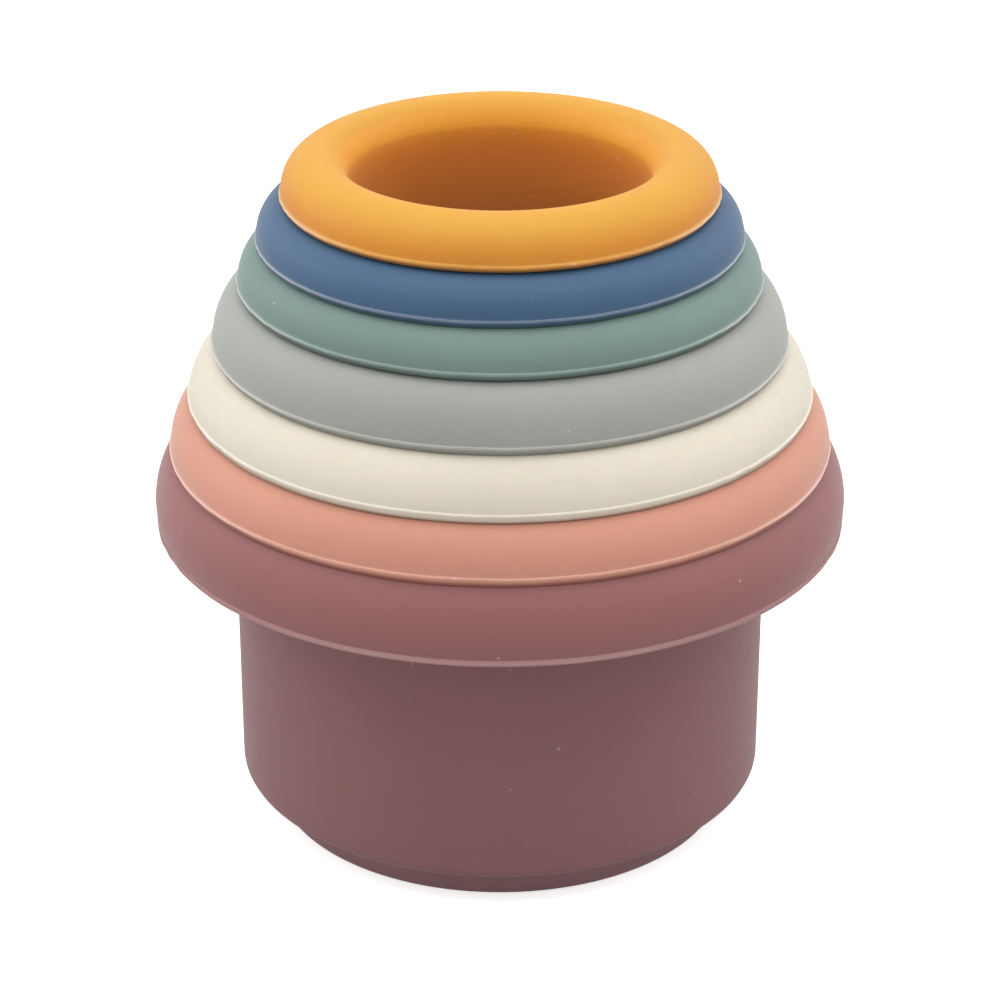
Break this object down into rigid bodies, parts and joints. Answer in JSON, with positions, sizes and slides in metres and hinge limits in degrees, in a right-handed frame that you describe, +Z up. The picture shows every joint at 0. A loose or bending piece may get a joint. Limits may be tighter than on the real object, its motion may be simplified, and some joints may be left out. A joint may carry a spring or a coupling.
{
  "type": "nesting stacking cups",
  "caption": "Round silicone stacking cups with thick ring-like rims, nested in one another so the rims form a tapering stack; each cup lifts out of the next larger one.",
  "frame": {"origin": "centre of the underside of the largest cup's foot, on the surface the nest stands on", "axes": "+Z up along the common axis of all the cups, the way they lift out; X and Y are any two level directions, because every cup is round"},
  "size_m": [0.0902, 0.0902, 0.0903],
  "materials": {
    "plum_silicone": "matte",
    "coral_silicone": "matte",
    "cream_silicone": "matte",
    "grey_silicone": "matte",
    "sage_silicone": "matte",
    "blue_silicone": "matte",
    "mustard_silicone": "matte"
  },
  "bodies": {
    "plum_cup": {"plum_cup": "plum_silicone"},
    "coral_cup": {"coral_cup": "coral_silicone"},
    "cream_cup": {"cream_cup": "cream_silicone"},
    "grey_cup": {"grey_cup": "grey_silicone"},
    "sage_cup": {"sage_cup": "sage_silicone"},
    "blue_cup": {"blue_cup": "blue_silicone"},
    "mustard_cup": {"mustard_cup": "mustard_silicone"}
  },
  "joints": [
    {"name": "coral_lift", "type": "slide", "parent": "plum_cup", "child": "coral_cup", "axis": [0, 0, 1], "range_m": [0, 0.042]},
    {"name": "cream_lift", "type": "slide", "parent": "coral_cup", "child": "cream_cup", "axis": [0, 0, 1], "range_m": [0, 0.04]},
    {"name": "grey_lift", "type": "slide", "parent": "cream_cup", "child": "grey_cup", "axis": [0, 0, 1], "range_m": [0, 0.038]},
    {"name": "sage_lift", "type": "slide", "parent": "grey_cup", "child": "sage_cup", "axis": [0, 0, 1], "range_m": [0, 0.0365]},
    {"name": "blue_lift", "type": "slide", "parent": "sage_cup", "child": "blue_cup", "axis": [0, 0, 1], "range_m": [0, 0.0355]},
    {"name": "mustard_lift", "type": "slide", "parent": "blue_cup", "child": "mustard_cup", "axis": [0, 0, 1], "range_m": [0, 0.033]}
  ]
}
